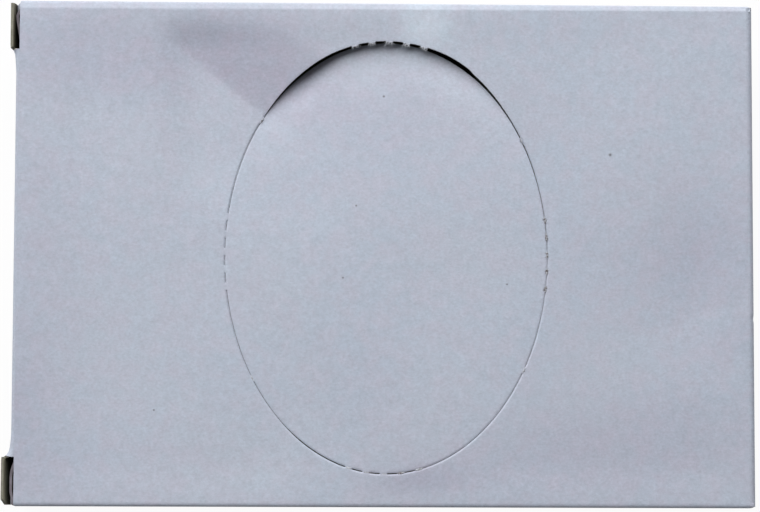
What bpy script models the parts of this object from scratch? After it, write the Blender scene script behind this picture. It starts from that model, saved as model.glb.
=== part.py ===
"""Folding carton with a perforated oval window, lying on its back panel.

Every panel is a thin board sheet. A crease between two panels is shared: each panel
carries half of the bend, and the two halves stop a small gap apart.
"""
from math import cos, pi, radians, sin, sqrt

import bmesh
import bpy
from mathutils import Matrix, Vector

# overall size
HALF_LENGTH = 0.066
HALF_WIDTH = 0.045
DEPTH = 0.028

# board
BOARD = 0.00045
GAP = 0.0003
FOLD_RADIUS = 0.001
MID_RADIUS = FOLD_RADIUS - BOARD / 2
HALF_BEND = MID_RADIUS * pi / 4 - GAP / 2
BEND_STEPS = 4

# front and back panels
RAW_EDGE = 0.0651
FLAT_END = HALF_LENGTH - FOLD_RADIUS
FLAT_SIDE = HALF_WIDTH - FOLD_RADIUS
END_FOLD_HALF_WIDTH = 0.0436

# oval window
OVAL_CENTRE = (0.0004, -0.0005)
OVAL_RX = 0.02857
OVAL_RY = 0.0385
KERF = 0.0004
NICK_DEPTH = 0.0002
NICK_WIDTH = 0.0012
CLUSTER_SIZE = 5
NICK_PITCH = 0.0031
SINGLE_NICK_ANGLE = radians(34.5)
PUSHED_IN = 0.0016
PUSH_START = -0.004

# closures and tuck flaps
SLIT_LENGTH = 0.0085
SLIT_WIDTH = 0.0004
EAR_TOP = 0.0277
EAR_LEAN_UPPER = 0.0009
EAR_LEAN_LOWER = 0.0015
EAR_BEND_START = 0.014
TUCK_FACE = 0.02725
TUCK_LENGTH = 0.012
TUCK_TILT = radians(11)
TUCK_CORNER = 0.006

# dust flaps
DUST_OUTER = 0.06525
DUST_LENGTH = 0.036
DUST_FOLD_LOW = 0.0016
DUST_TOP = 0.0259
DUST_TOP_END = 0.0244
DUST_TAPER = 1 / 3.2
DUST_END_RADIUS = 0.004

# glue flap
GLUE_HEIGHT = 0.013
GLUE_END_CUT = 0.006
GLUE_SHIFT = BOARD + GAP

WHITE_BOARD = (0.47, 0.49, 0.56)


def clear_scene():
    for obj in list(bpy.data.objects):
        bpy.data.objects.remove(obj, do_unlink=True)
    for mesh in list(bpy.data.meshes):
        bpy.data.meshes.remove(mesh)
    for material in list(bpy.data.materials):
        bpy.data.materials.remove(material)


def board_material(name, shade):
    material = bpy.data.materials.new(name + "_board")
    material.use_nodes = True
    shader = material.node_tree.nodes["Principled BSDF"]
    colour = [channel * shade for channel in WHITE_BOARD]
    shader.inputs["Base Color"].default_value = (*colour, 1.0)
    shader.inputs["Roughness"].default_value = 0.62
    shader.inputs["Metallic"].default_value = 0.0
    return material


def make_object(name, bm, shade=1.0, smooth_angle=radians(35)):
    bmesh.ops.recalc_face_normals(bm, faces=bm.faces)
    mesh = bpy.data.meshes.new(name)
    bm.to_mesh(mesh)
    bm.free()
    obj = bpy.data.objects.new(name, mesh)
    bpy.context.scene.collection.objects.link(obj)
    mesh.shade_smooth()
    mesh.set_sharp_from_angle(angle=smooth_angle)
    mesh.materials.append(board_material(name, shade))
    return obj


def board_sheet(columns, rows, place, present=None):
    """One closed sheet over a grid: place(u, v) gives the mid-surface point."""
    step = 1e-5

    def both_sides(u, v):
        middle = Vector(place(u, v))
        along_u = Vector(place(u + step, v)) - Vector(place(u - step, v))
        along_v = Vector(place(u, v + step)) - Vector(place(u, v - step))
        normal = along_u.cross(along_v).normalized()
        return middle + normal * BOARD / 2, middle - normal * BOARD / 2

    bm = bmesh.new()
    corners = {}

    def corner(i, j):
        if (i, j) not in corners:
            outer, inner = both_sides(columns[i], rows[j])
            corners[i, j] = (bm.verts.new(outer), bm.verts.new(inner))
        return corners[i, j]

    cells = set()
    for i in range(len(columns) - 1):
        for j in range(len(rows) - 1):
            u = (columns[i] + columns[i + 1]) / 2
            v = (rows[j] + rows[j + 1]) / 2
            if present is None or present(u, v):
                cells.add((i, j))

    for i, j in sorted(cells):
        ring = [corner(i, j), corner(i + 1, j), corner(i + 1, j + 1), corner(i, j + 1)]
        bm.faces.new([pair[0] for pair in ring])
        bm.faces.new([pair[1] for pair in reversed(ring)])
        neighbours = ((i, j - 1), (i + 1, j), (i, j + 1), (i - 1, j))
        for side, neighbour in enumerate(neighbours):
            if neighbour not in cells:
                start = ring[side]
                end = ring[(side + 1) % 4]
                bm.faces.new([start[0], start[1], end[1], end[0]])
    return bm


def bend_steps(flat_length):
    """Positions along a sheet from the end of its flat to the middle of its crease."""
    return [flat_length + HALF_BEND * step / BEND_STEPS for step in range(1, BEND_STEPS + 1)]


def round_fold(position, flat_length):
    """Distance along the flat and drop below it, for a sheet that bends after its flat."""
    over = position - flat_length
    if over <= 0:
        return position, 0.0
    angle = over / MID_RADIUS
    return flat_length + MID_RADIUS * sin(angle), MID_RADIUS * (1 - cos(angle))


def folded_both_ways(position, flat_length):
    across, drop = round_fold(abs(position), flat_length)
    return (across if position >= 0 else -across), drop


def symmetric(values):
    return [-value for value in reversed(values)] + list(values)


def ease(start, end, value):
    ratio = min(max((value - start) / (end - start), 0.0), 1.0)
    return ratio * ratio * (3 - 2 * ratio)


def turned_end(obj):
    """Turn an end piece half a turn about the carton's cross axis, to the other end."""
    turn = Matrix.Rotation(pi, 4, "Y")
    centre = Matrix.Translation((0, 0, DEPTH / 2))
    obj.data.transform(centre @ turn @ centre.inverted())


def put_origin(obj, point):
    """Move the object's origin onto a point of its joint's axis."""
    obj.data.transform(Matrix.Translation(-Vector(point)))
    obj.location = point


def main_panel(name, shade, glue_side):
    """Front or back panel, laid at the top: raw edge at the left, fold at the right."""
    side_flats = (FLAT_SIDE - GLUE_SHIFT if glue_side else FLAT_SIDE, FLAT_SIDE)

    def place(u, v):
        x, drop_end = round_fold(u, FLAT_END)
        flat = side_flats[0] if v < 0 else side_flats[1]
        y, drop_side = folded_both_ways(v, flat)
        return x, y, DEPTH - BOARD / 2 - drop_end - drop_side

    fold_reach = END_FOLD_HALF_WIDTH
    columns = [-RAW_EDGE, FLAT_END - 0.0006, FLAT_END] + bend_steps(FLAT_END)
    low_side = [-value for value in reversed([side_flats[0]] + bend_steps(side_flats[0]))]
    rows = low_side + [-min(fold_reach, side_flats[0] - 0.0003), min(fold_reach, FLAT_SIDE - 0.0003)]
    rows = rows + [FLAT_SIDE] + bend_steps(FLAT_SIDE)
    low_limit = rows[len(low_side)]
    high_limit = rows[len(low_side) + 1]

    def present(u, v):
        if u <= FLAT_END - 0.0006:
            return True
        return low_limit < v < high_limit

    bm = board_sheet(columns, rows, place, present)
    return make_object(name, bm, shade)


def side_panel(name, side, shade):
    """Side panel with half folds to the dust flaps at both ends."""
    y_middle = side * (HALF_WIDTH - BOARD / 2)
    end_flat = DUST_OUTER - FOLD_RADIUS
    glued = side < 0
    low_end = 0.0003 if glued else FOLD_RADIUS
    low_bends = [] if glued else [FOLD_RADIUS - value for value in reversed(bend_steps(0))]
    high_flat = DEPTH - FOLD_RADIUS

    def place(u, v):
        x, inward_end = folded_both_ways(u, end_flat)
        if v > high_flat:
            rise, inward = round_fold(v - high_flat, 0.0)
            return x, y_middle - side * (inward_end + inward), high_flat + rise
        if v < low_end and not glued:
            fall, inward = round_fold(low_end - v, 0.0)
            return x, y_middle - side * (inward_end + inward), low_end - fall
        return x, y_middle - side * inward_end, v

    fold_low = DUST_FOLD_LOW
    fold_high = DUST_TOP
    columns = symmetric([end_flat - 0.0006, end_flat] + bend_steps(end_flat))
    rows = low_bends + [low_end, fold_low, DEPTH - fold_high, DEPTH - fold_low, fold_high, high_flat]
    rows = sorted(set(rows)) + [high_flat + value for value in bend_steps(0)]

    def present(u, v):
        if abs(u) <= end_flat - 0.0006:
            return True
        if u < 0:
            return fold_low < v < fold_high
        return DEPTH - fold_high < v < DEPTH - fold_low

    return make_object(name, board_sheet(columns, rows, place, present), shade)


def glue_flap():
    """Flap folded up from the back panel, inside the lower side panel."""
    y_middle = -(HALF_WIDTH - GLUE_SHIFT - BOARD / 2)

    def place(u, v):
        rise = v
        inward = 0.0
        if v < FOLD_RADIUS:
            fall, inward = round_fold(FOLD_RADIUS - v, 0.0)
            rise = FOLD_RADIUS - fall
        cut = GLUE_END_CUT * max(rise - FOLD_RADIUS, 0.0) / GLUE_HEIGHT
        x = u * (FLAT_END - 0.001 - cut) / (FLAT_END - 0.001)
        return x, y_middle + inward, rise

    columns = [-(FLAT_END - 0.001), 0.0, FLAT_END - 0.001]
    rows = [FOLD_RADIUS - value for value in reversed(bend_steps(0))] + [FOLD_RADIUS, GLUE_HEIGHT]
    return make_object("glue_flap", board_sheet(columns, rows, place), 0.92)


def nick_angles():
    """Angles of the nicks: a cluster at each end of both axes, and four single ones."""
    angles = []
    for quarter in range(4):
        radius = OVAL_RX if quarter % 2 else OVAL_RY
        for k in range(CLUSTER_SIZE):
            shift = (k - (CLUSTER_SIZE - 1) / 2) * NICK_PITCH / radius
            angles.append(quarter * pi / 2 + shift)
    for sign_x in (0, pi):
        angles.append(sign_x + SINGLE_NICK_ANGLE)
        angles.append(sign_x - SINGLE_NICK_ANGLE)
    return sorted(angle % (2 * pi) for angle in angles)


def cut_oval_window(panel):
    """Cut the oval aperture, leaving each nick as a small tooth on its edge."""
    half_turns = []
    for angle in nick_angles():
        speed = sqrt((OVAL_RX * sin(angle)) ** 2 + (OVAL_RY * cos(angle)) ** 2)
        half = NICK_WIDTH / 2 / speed
        half_turns += [(angle - half, KERF), (angle - half * 0.8, KERF - NICK_DEPTH)]
        half_turns += [(angle + half * 0.8, KERF - NICK_DEPTH), (angle + half, KERF)]
    plain = []
    for k in range(96):
        angle = 2 * pi * k / 96
        if all(abs((angle - nick + pi) % (2 * pi) - pi) > 0.035 for nick in nick_angles()):
            plain.append((angle, KERF))
    outline = sorted(half_turns + plain)

    bm = bmesh.new()
    ring = []
    for angle, kerf in outline:
        across = OVAL_CENTRE[0] + OVAL_RX * cos(angle)
        along = OVAL_CENTRE[1] + OVAL_RY * sin(angle)
        point = Vector((across, along, DEPTH - 0.003))
        normal = Vector((cos(angle) / OVAL_RX, sin(angle) / OVAL_RY, 0)).normalized()
        ring.append(bm.verts.new(point + normal * kerf))
    face = bm.faces.new(ring)
    grown = bmesh.ops.extrude_face_region(bm, geom=[face])
    moved = [item for item in grown["geom"] if isinstance(item, bmesh.types.BMVert)]
    bmesh.ops.translate(bm, verts=moved, vec=(0, 0, 0.005))
    cutter = make_object("oval_cutter", bm)

    modifier = panel.modifiers.new("oval_window", "BOOLEAN")
    modifier.operation = "DIFFERENCE"
    modifier.solver = "EXACT"
    modifier.object = cutter
    depsgraph = bpy.context.evaluated_depsgraph_get()
    mesh = bpy.data.meshes.new_from_object(panel.evaluated_get(depsgraph))
    panel.modifiers.clear()
    panel.data = mesh
    bpy.data.objects.remove(cutter, do_unlink=True)


def oval_panel():
    """Tear-out panel: flush with the front panel below, pushed in at its upper end."""
    count = 56
    centre_x, centre_y = OVAL_CENTRE
    angles = [-pi / 2 + pi * k / count for k in range(1, count)]

    def dip(y):
        ratio = max((y - PUSH_START) / (OVAL_RY - PUSH_START), 0.0)
        return PUSHED_IN * ratio ** 1.7

    bm = bmesh.new()
    ladders = []
    for top in (DEPTH, DEPTH - BOARD):
        rungs = []
        for angle in angles:
            x = OVAL_RX * cos(angle)
            y = OVAL_RY * sin(angle)
            z = top - dip(y)
            left_point = (centre_x - x, centre_y + y, z)
            right_point = (centre_x + x, centre_y + y, z)
            rungs.append((bm.verts.new(left_point), bm.verts.new(right_point)))
        low = bm.verts.new((centre_x, centre_y - OVAL_RY, top))
        high = bm.verts.new((centre_x, centre_y + OVAL_RY, top - dip(OVAL_RY)))
        bm.faces.new((low, rungs[0][1], rungs[0][0]))
        for first, second in zip(rungs, rungs[1:]):
            bm.faces.new((first[0], first[1], second[1], second[0]))
        bm.faces.new((rungs[-1][0], rungs[-1][1], high))
        right = [rung[1] for rung in rungs]
        left = [rung[0] for rung in reversed(rungs)]
        ladders.append([low] + right + [high] + left)
    upper, lower = ladders
    for k in range(len(upper)):
        after = (k + 1) % len(upper)
        bm.faces.new((upper[k], lower[k], lower[after], upper[after]))
    obj = make_object("oval_panel", bm, 1.02)
    put_origin(obj, (centre_x, centre_y - OVAL_RY, DEPTH))
    return obj


def slit_start():
    return HALF_WIDTH - SLIT_LENGTH


def ear_lean(y, z):
    """How far the closure's free corners spring outwards beside the slits."""
    most = EAR_LEAN_UPPER if y > 0 else EAR_LEAN_LOWER
    beside = ease(slit_start() - 0.006, slit_start(), abs(y))
    height = max((z - EAR_BEND_START) / (EAR_TOP - EAR_BEND_START), 0.0)
    return most * beside * height ** 2


def left_closure():
    """Closure panel of the left end: crease at the back, slit corners at the front."""
    crease_start = TUCK_FACE - FOLD_RADIUS
    x_middle = -(HALF_LENGTH - BOARD / 2)

    def place(u, v):
        if v < FOLD_RADIUS:
            fall, inward = round_fold(FOLD_RADIUS - v, 0.0)
            return x_middle + inward, u, FOLD_RADIUS - fall
        if v <= crease_start or abs(u) > slit_start() - SLIT_WIDTH / 2:
            stretch = (EAR_TOP - crease_start) / HALF_BEND
            height = v if v <= crease_start else crease_start + (v - crease_start) * stretch
            return x_middle - ear_lean(u, height), u, height
        rise, inward = round_fold(v - crease_start, 0.0)
        lean = ear_lean(u, crease_start)
        return x_middle - lean + inward, u, crease_start + rise

    edge = END_FOLD_HALF_WIDTH
    slit = slit_start()
    half = [0.01, 0.02, 0.0305, 0.032, 0.0335, 0.035, slit - SLIT_WIDTH, slit, 0.04, edge]
    columns = symmetric(half)
    lows = [FOLD_RADIUS - value for value in reversed(bend_steps(0))]
    middle = [FOLD_RADIUS, 0.008, EAR_BEND_START, 0.017, 0.02, 0.0225, 0.0245, crease_start]
    rows = lows + middle + [crease_start + value for value in bend_steps(0)]

    def present(u, v):
        in_slit = slit - SLIT_WIDTH < abs(u) < slit
        return not (v > crease_start and in_slit)

    return make_object("left_closure", board_sheet(columns, rows, place, present), 0.97)


def tuck_hinge():
    away = FOLD_RADIUS * (1 - cos(pi / 4))
    return Vector((-(HALF_LENGTH - away), 0, TUCK_FACE - away))


def left_tuck():
    """Tuck flap of the left end, sloping inwards under the front panel."""
    start = -FLAT_END

    def place(u, v):
        if v < 0:
            back, drop = round_fold(-v, 0.0)
            return start - back, u, TUCK_FACE - BOARD / 2 - drop
        over = max(v - (TUCK_LENGTH - TUCK_CORNER), 0.0) / TUCK_CORNER
        narrowing = TUCK_CORNER * (1 - sqrt(max(1 - over * over, 0.0)))
        full = END_FOLD_HALF_WIDTH - 0.0006
        side = u * (full - narrowing * 0.9) / full if abs(u) > slit_start() else u
        return start + v, side, TUCK_FACE - BOARD / 2

    full = END_FOLD_HALF_WIDTH - 0.0006
    slit = slit_start() - SLIT_WIDTH
    columns = symmetric([0.02, slit, slit + 0.0004, full])
    corner = TUCK_LENGTH - TUCK_CORNER
    rows = [-value for value in reversed(bend_steps(0))] + [0.0, 0.0006]
    rows = rows + [corner + TUCK_CORNER * part for part in (0, 0.35, 0.6, 0.8, 0.93, 0.995)]

    def present(u, v):
        return v > 0.0006 or abs(u) < slit

    obj = make_object("left_tuck", board_sheet(columns, rows, place, present), 0.95)
    hinge = tuck_hinge()
    tilt = Matrix.Translation(hinge) @ Matrix.Rotation(TUCK_TILT, 4, "Y") @ Matrix.Translation(-hinge)
    obj.data.transform(tilt)
    return obj


def left_dust(name, side, shade):
    """Dust flap folded in from a side panel's left end."""
    fold_flat = FLAT_SIDE
    x_middle = -(DUST_OUTER - BOARD / 2)
    first = HALF_BEND

    def edges(reach):
        low = max(DUST_FOLD_LOW, reach * DUST_TAPER + 0.0006)
        high = DUST_TOP - (DUST_TOP - DUST_TOP_END) * max(reach, 0.0) / DUST_LENGTH
        over = max(reach - (DUST_LENGTH - DUST_END_RADIUS), 0.0) / DUST_END_RADIUS
        trim = DUST_END_RADIUS * (1 - sqrt(max(1 - over * over, 0.0))) * 0.9
        return low + trim, high - trim

    def place(u, v):
        low, high = edges(u)
        height = low + (high - low) * v
        if u < 0:
            back, inward = round_fold(-u, 0.0)
            return x_middle + inward, side * (fold_flat + back), height
        return x_middle, side * (fold_flat - u), height

    columns = [-first * step / BEND_STEPS for step in range(BEND_STEPS, 0, -1)]
    columns = columns + [0.0, (DUST_FOLD_LOW - 0.0006) / DUST_TAPER]
    tip = DUST_LENGTH - DUST_END_RADIUS
    columns = columns + [tip + DUST_END_RADIUS * part for part in (0, 0.35, 0.6, 0.8, 0.93, 0.995)]
    obj = make_object(name, board_sheet(columns, [0.0, 1.0], place), shade)
    away = FOLD_RADIUS * (1 - cos(pi / 4))
    return obj, Vector((-(DUST_OUTER - away), side * (HALF_WIDTH - away), DEPTH / 2))


def turned_point(point):
    return Vector((-point.x, point.y, DEPTH - point.z))


def end_pieces():
    """Closure, tuck flap and dust flaps of the left end, and the same turned to the right."""
    away = FOLD_RADIUS * (1 - cos(pi / 4))
    closure_hinge = Vector((-(HALF_LENGTH - away), 0, away))
    for end in ("left", "right"):
        pieces = [(left_closure(), closure_hinge), (left_tuck(), tuck_hinge())]
        pieces.append(left_dust("left_upper_dust", 1, 0.9))
        pieces.append(left_dust("left_lower_dust", -1, 0.93))
        for obj, hinge in pieces:
            if end == "right":
                turned_end(obj)
                hinge = turned_point(hinge)
            obj.name = obj.data.name = obj.name.replace("left", end).split(".")[0]
            put_origin(obj, hinge)


clear_scene()
front = main_panel("front_panel", 1.0, False)
cut_oval_window(front)
back = main_panel("back_panel", 0.95, True)
turned_end(back)
side_panel("upper_side_panel", 1, 0.98)
side_panel("lower_side_panel", -1, 0.96)
glue_flap()
oval_panel()
end_pieces()
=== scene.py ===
"""Folding carton with a perforated oval window: the looks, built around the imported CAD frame."""
import math

import bpy
import numpy as np
from mathutils import Matrix, Vector, noise


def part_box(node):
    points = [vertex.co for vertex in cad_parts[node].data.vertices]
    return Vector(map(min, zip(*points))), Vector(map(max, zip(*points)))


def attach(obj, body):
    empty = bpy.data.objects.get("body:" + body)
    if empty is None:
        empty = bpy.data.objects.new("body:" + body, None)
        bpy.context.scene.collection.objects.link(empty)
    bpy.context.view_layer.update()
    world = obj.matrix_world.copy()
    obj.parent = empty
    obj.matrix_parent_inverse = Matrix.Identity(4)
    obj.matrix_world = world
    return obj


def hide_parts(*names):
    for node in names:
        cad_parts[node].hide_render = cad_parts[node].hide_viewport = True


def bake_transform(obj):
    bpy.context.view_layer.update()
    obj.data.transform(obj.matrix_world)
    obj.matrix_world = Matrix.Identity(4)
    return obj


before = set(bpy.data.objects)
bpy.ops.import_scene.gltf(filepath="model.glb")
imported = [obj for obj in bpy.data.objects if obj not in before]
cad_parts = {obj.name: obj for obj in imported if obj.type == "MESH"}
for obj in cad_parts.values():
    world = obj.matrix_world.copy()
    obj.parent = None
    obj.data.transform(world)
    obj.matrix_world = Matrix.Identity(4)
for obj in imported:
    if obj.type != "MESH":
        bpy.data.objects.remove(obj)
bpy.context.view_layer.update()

MM = 0.001

# sizes that the CAD frame gives
front_low, front_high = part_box("front_panel")
oval_low, oval_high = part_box("oval_panel")
TOP = front_high.z
RAW_EDGE = -front_low.x
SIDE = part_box("upper_side_panel")[1].y
END = 66.0 * MM
OVAL_X = (oval_high.x + oval_low.x) / 2
OVAL_Y = (oval_high.y + oval_low.y) / 2
OVAL_RX = (oval_high.x - oval_low.x) / 2
OVAL_RY = (oval_high.y - oval_low.y) / 2

BOARD = 0.45 * MM
SURFACE_DROP = 0.02 * MM
FOLD = 1.0 * MM
MID_FOLD = FOLD - BOARD / 2
QUARTER = MID_FOLD * math.pi / 2
FLAT_END = END - FOLD
FLAT_SIDE = SIDE - FOLD
UPPER_FOLD = 1.4 * MM
LOWER_FOLD = 0.95 * MM
GLUE_SHIFT = 0.75 * MM

SLIT_Y = 36.5 * MM
SLIT_WIDTH = 0.2 * MM
EDGE_Y = 44.75 * MM
EAR_TOP = 27.7 * MM
EAR_BEND = 14.0 * MM
EAR_OUT_UPPER = 0.74 * MM
EAR_OUT_LOWER = 1.37 * MM
TUCK_FACE = 27.48 * MM
FOLD_IN = 0.25 * MM
TUCK_TILT = math.radians(11)
TUCK_LENGTH = 12.0 * MM
TUCK_HALF_WIDTH = 42.9 * MM

DUST_OUTER = 65.25 * MM
DUST_LENGTH = 36.0 * MM

GLUE_HEIGHT = 13.0 * MM
SIDE_END = 65.1 * MM

CUT_OFFSET = 0.1 * MM
KERF = 0.06 * MM
OPEN_KERF = 0.16 * MM
LOW_KERF_EXTRA = 0.12 * MM
TORN_RIM_LIFT = 0.36 * MM
NICK_WIDTH = 1.25 * MM
NICK_PITCH = 3.1 * MM
CLUSTER = 5
SHARP_ANGLE = math.radians(50)


# ---------------------------------------------------------------- small helpers

def ease(start, end, value):
    """Smooth step from 0 at start to 1 at end, which may be the lower one."""
    ratio = np.clip((value - start) / (end - start), 0.0, 1.0)
    return ratio * ratio * (3 - 2 * ratio)


def bump(value, centre, width):
    """Smooth hill of height 1."""
    return np.exp(-(((value - centre) / width) ** 2))


def round_fold(position, flat):
    """Along-the-flat distance and drop, for a sheet that bends after its flat."""
    angle = np.clip((position - flat) / MID_FOLD, 0.0, math.pi / 2)
    beyond = np.maximum(position - flat - QUARTER, 0.0)
    along = np.minimum(position, flat) + MID_FOLD * np.sin(angle)
    return along, MID_FOLD * (1 - np.cos(angle)) + beyond


def upper_edge(x):
    """Where the front's flat ends at its upper fold, which widens towards the left."""
    return SIDE - UPPER_FOLD + 0.0042 * x


def bend_profile(tilt, reach):
    """Along and down travel over a crease whose slope is tilt(s) of a right angle, s from 0 to 1."""
    s = np.linspace(0, 1, 401)
    slope = tilt(s) * math.pi / 2
    along = np.concatenate([[0], np.cumsum(np.cos((slope[1:] + slope[:-1]) / 2))])
    down = np.concatenate([[0], np.cumsum(np.sin((slope[1:] + slope[:-1]) / 2))])
    return s, along / along[-1] * reach, down / along[-1] * reach


def spread(*pieces):
    """Joined runs of evenly spaced values: (start, end, count) each."""
    values = []
    for start, end, count in pieces:
        values += list(np.linspace(start, end, count + 1))
    return np.array(sorted(set(np.round(values, 9))))


# ---------------------------------------------------------------- board meshes

class BoardMesh:
    """Collects vertices and faces; material 0 is the white outside, 1 the inside, 2 the cut edge."""

    def __init__(self):
        self.points = []
        self.faces = []
        self.kinds = []

    def add_points(self, array):
        """Adds points and gives the number of the first."""
        start = len(self.points)
        self.points += [tuple(p) for p in np.reshape(array, (-1, 3))]
        return start

    def add(self, face, kind):
        self.faces.append(face)
        self.kinds.append(kind)

    def build(self, name, materials, painted_shading=None, attribute="painted_shading"):
        """Makes the object. The painted shading function of (x, y, z), if given, gives a value per vertex,
        kept under the attribute's name.
        """
        mesh = bpy.data.meshes.new(name)
        mesh.from_pydata(self.points, [], self.faces)
        for material in materials:
            mesh.materials.append(material)
        mesh.polygons.foreach_set("material_index", self.kinds)
        mesh.shade_smooth()
        mesh.set_sharp_from_angle(angle=SHARP_ANGLE)
        mesh.update()
        if painted_shading is not None:
            layer = mesh.attributes.new(attribute, "FLOAT", "POINT")
            layer.data.foreach_set("value", painted_shading(*np.array(self.points).T).astype(np.float32))
        obj = bpy.data.objects.new(name, mesh)
        bpy.context.scene.collection.objects.link(obj)
        return obj


def sheet_sides(place, u, v, flip):
    """Outer and inner surface points for parameter arrays u, v."""
    step = 0.01 * MM
    middle = place(u, v)
    along_u = place(u + step, v) - place(u - step, v)
    along_v = place(u, v + step) - place(u, v - step)
    normal = np.cross(along_u, along_v)
    normal /= np.linalg.norm(normal, axis=-1, keepdims=True) + 1e-15
    if flip:
        normal = -normal
    return middle + normal * BOARD / 2, middle - normal * BOARD / 2


def board_sheet(name, columns, rows, place, present=None, flip=False):
    """Closed sheet over a grid. place(u, v) gives mid-surface points for arrays."""
    count_u, count_v = len(columns), len(rows)
    u, v = np.meshgrid(columns, rows, indexing="ij")
    cells = np.ones((count_u - 1, count_v - 1), bool)
    if present is not None:
        centre_u = (u[:-1, :-1] + u[1:, 1:]) / 2
        centre_v = (v[:-1, :-1] + v[1:, 1:]) / 2
        cells = present(centre_u, centre_v)
    outer, inner = sheet_sides(place, u, v, flip)
    mesh = BoardMesh()
    used = np.zeros((count_u, count_v), bool)
    used[:-1, :-1] |= cells
    used[1:, :-1] |= cells
    used[:-1, 1:] |= cells
    used[1:, 1:] |= cells
    index = np.full((count_u, count_v), -1)
    index[used] = np.arange(used.sum())
    start_out = mesh.add_points(outer[used])
    start_in = mesh.add_points(inner[used])
    for i, j in zip(*np.nonzero(cells)):
        ring = [index[i, j], index[i + 1, j], index[i + 1, j + 1], index[i, j + 1]]
        if flip:
            ring = ring[::-1]
        mesh.add([start_out + k for k in ring], 0)
        mesh.add([start_in + k for k in reversed(ring)], 1)
        sides = (((i, j), (i + 1, j), (i, j - 1)), ((i + 1, j), (i + 1, j + 1), (i + 1, j)),
                 ((i + 1, j + 1), (i, j + 1), (i, j + 1)), ((i, j + 1), (i, j), (i - 1, j)))
        for first, second, beyond in sides:
            inside = 0 <= beyond[0] < count_u - 1 and 0 <= beyond[1] < count_v - 1
            if inside and cells[beyond]:
                continue
            a, b = index[first], index[second]
            if flip:
                a, b = b, a
            mesh.add([start_out + b, start_out + a, start_in + a, start_in + b], 2)
    return mesh


# ---------------------------------------------------------------- materials

def make_material(name, slots):
    """New material with values set on its own shader."""
    material = bpy.data.materials.new(name)
    material.use_nodes = True
    tree = material.node_tree
    shader = tree.nodes["Principled BSDF"]
    for socket, value in slots.items():
        shader.inputs[socket].default_value = value
    return material, tree, shader


def node(tree, kind, **settings):
    made = tree.nodes.new(kind)
    for key, value in settings.items():
        setattr(made, key, value)
    return made


def noise_node(tree, coords, scale, detail=3.0, roughness=0.55):
    made = node(tree, "ShaderNodeTexNoise")
    made.inputs["Scale"].default_value = scale
    made.inputs["Detail"].default_value = detail
    made.inputs["Roughness"].default_value = roughness
    tree.links.new(coords, made.inputs["Vector"])
    return made.outputs["Fac"]


def remap(tree, value, low, high, to_low, to_high):
    made = node(tree, "ShaderNodeMapRange")
    for socket, number in zip(("From Min", "From Max", "To Min", "To Max"), (low, high, to_low, to_high)):
        made.inputs[socket].default_value = number
    tree.links.new(value, made.inputs["Value"])
    return made.outputs["Result"]


def mix_colour(tree, factor, first, second, blend="MIX"):
    """Mix of two colours, each a socket or three numbers."""
    made = node(tree, "ShaderNodeMix", data_type="RGBA", blend_type=blend)
    for socket, value in ((made.inputs["Factor"], factor), (made.inputs[6], first), (made.inputs[7], second)):
        if isinstance(value, bpy.types.NodeSocket):
            tree.links.new(value, socket)
        elif isinstance(value, (float, int)):
            socket.default_value = value
        else:
            socket.default_value = (*value, 1.0)
    return made.outputs[2]


def math_node(tree, operation, first, second):
    """Maths on two values, each a socket or a number."""
    made = node(tree, "ShaderNodeMath", operation=operation)
    for socket, value in zip(made.inputs, (first, second)):
        if isinstance(value, bpy.types.NodeSocket):
            tree.links.new(value, socket)
        else:
            socket.default_value = value
    return made.outputs[0]


def stretched(tree, coords, scale):
    """Coordinates scaled by axis."""
    made = node(tree, "ShaderNodeMapping")
    made.inputs["Scale"].default_value = scale
    tree.links.new(coords, made.inputs["Vector"])
    return made.outputs["Vector"]


def bump_node(tree, height, distance, strength, below=None):
    made = node(tree, "ShaderNodeBump")
    made.inputs["Strength"].default_value = strength
    made.inputs["Distance"].default_value = distance
    tree.links.new(height, made.inputs["Height"])
    if below is not None:
        tree.links.new(below, made.inputs["Normal"])
    return made.outputs["Normal"]


# dirt specks on the white side: place on the panel and size, in millimetres
SPECKS = ((-0.1, 28.3, 0.30), (40.4, 17.9, 0.36), (-5.0, 8.5, 0.24),
          (-7.3, -4.4, 0.24), (21.9, -5.4, 0.22), (-40.6, -28.0, 0.24))


def speck(tree, coords, x, y, size):
    """Strength of one small dirt speck on the outer face, by distance from its middle in millimetres."""
    plan = node(tree, "ShaderNodeVectorMath", operation="MULTIPLY")
    tree.links.new(coords, plan.inputs[0])
    plan.inputs[1].default_value = (1.0, 1.0, 0.0)
    away = node(tree, "ShaderNodeVectorMath", operation="DISTANCE")
    tree.links.new(plan.outputs[0], away.inputs[0])
    away.inputs[1].default_value = (x * MM, y * MM, 0.0)
    return remap(tree, away.outputs["Value"], size * 0.25 * MM, size * MM, 0.85, 0.0)


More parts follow.
